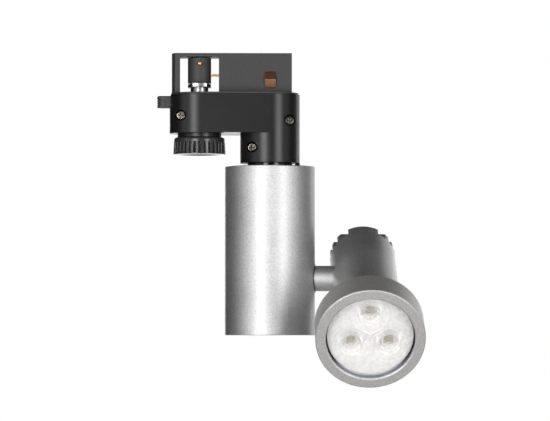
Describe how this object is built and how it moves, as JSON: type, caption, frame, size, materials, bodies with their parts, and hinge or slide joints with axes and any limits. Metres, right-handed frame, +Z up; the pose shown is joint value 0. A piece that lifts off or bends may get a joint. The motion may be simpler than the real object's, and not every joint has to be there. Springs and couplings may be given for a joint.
{
  "type": "track spotlight",
  "caption": "Track spotlight: a driver can pans under a lever-locked track adapter with a circuit knob, and a tubular LED head tilts on an arm at its side.",
  "frame": {"origin": "where the pan axis meets the plane of the seating flange that bears on the track", "axes": "+Z up into the track, +X from the driver can towards the lamp head, the front of the fixture faces -Y"},
  "size_m": [0.145, 0.1114, 0.1847],
  "materials": {
    "adapter_plastic": "satin black",
    "knob_plastic": "glossy black",
    "insulator": "matt black",
    "silver_paint": "satin metallic silver",
    "brushed_ring": "brushed warm grey",
    "zinc_steel": "zinc plated",
    "spring_steel": "dull steel",
    "copper": "bare copper",
    "aluminium": "machined",
    "polymer_washer": "natural",
    "white_plastic": "white",
    "clear_lens": "clear",
    "led_phosphor": "yellow phosphor",
    "board_white": "white solder mask",
    "board_green": "green solder mask",
    "soft_pad": "grey",
    "gasket_rubber": "black",
    "wire_mains": "coloured sleeves",
    "wire_lamp": "coloured sleeves",
    "capacitor": "dark sleeve",
    "transformer": "taped coil"
  },
  "bodies": {
    "adapter": {"housing_front": "adapter_plastic", "housing_rear": "adapter_plastic", "housing_screws": "zinc_steel", "contact_carrier": "insulator", "neutral_contact": "copper", "earth_contacts": "copper", "pan_nipple": "zinc_steel", "nipple_nut": "zinc_steel", "pan_collar": "knob_plastic", "pan_friction_washer": "polymer_washer", "pan_spring_washer": "spring_steel", "pan_lock_nut": "zinc_steel", "adapter_wires": "wire_mains"},
    "selector": {"selector_knob": "knob_plastic", "selector_shaft": "insulator", "contact_rotor": "insulator", "phase_contacts": "copper"},
    "locking_lever": {"lock_lever": "adapter_plastic", "lock_sleeve": "spring_steel", "lock_wings": "spring_steel"},
    "driver_can": {"can_tube": "silver_paint", "can_top_cap": "silver_paint", "can_bottom_cap": "silver_paint", "cap_screws": "zinc_steel", "bottom_cap_screw": "zinc_steel", "pan_stop_pin": "spring_steel", "driver_bracket": "zinc_steel", "bracket_screws": "zinc_steel", "driver_case": "white_plastic", "driver_lid": "white_plastic", "case_screws": "zinc_steel", "driver_board": "board_green", "driver_transformer": "transformer", "driver_capacitors": "capacitor", "terminal_block": "polymer_washer", "driver_input_wires": "wire_mains", "lamp_wires": "wire_lamp", "pivot_block": "aluminium", "pivot_block_screws": "zinc_steel", "arm_bush": "knob_plastic", "tilt_stop_pins": "spring_steel"},
    "lamp_head": {"tilt_arm": "silver_paint", "tilt_friction_washer": "polymer_washer", "tilt_stop_washer": "spring_steel", "tilt_spring_washer": "spring_steel", "tilt_nut": "zinc_steel", "arm_nut": "zinc_steel", "head_barrel": "silver_paint", "head_collar": "brushed_ring", "collar_grub_screw": "spring_steel", "heat_spreader": "aluminium", "thermal_pad": "soft_pad", "led_board": "board_white", "led_packages": "led_phosphor", "led_domes": "clear_lens", "lens_holder": "white_plastic", "triple_lens": "clear_lens", "lens_gasket": "gasket_rubber", "head_wires": "wire_lamp"}
  },
  "joints": [
    {"name": "selector_turn", "type": "hinge", "parent": "adapter", "child": "selector", "pos_m": [-0.0392, 0, -0.0226], "axis": [0, 0, 1], "range_deg": [-180, 45]},
    {"name": "lever_turn", "type": "hinge", "parent": "adapter", "child": "locking_lever", "pos_m": [-0.0392, 0, -0.005], "axis": [0, 0, 1], "range_deg": [-90, 0]},
    {"name": "can_pan", "type": "hinge", "parent": "adapter", "child": "driver_can", "pos_m": [0, 0, -0.0433], "axis": [0, 0, 1], "range_deg": [-115, 225]},
    {"name": "head_tilt", "type": "hinge", "parent": "driver_can", "child": "lamp_head", "pos_m": [0.0138, 0, -0.1029], "axis": [1, 0, 0], "range_deg": [-28, 62]}
  ]
}
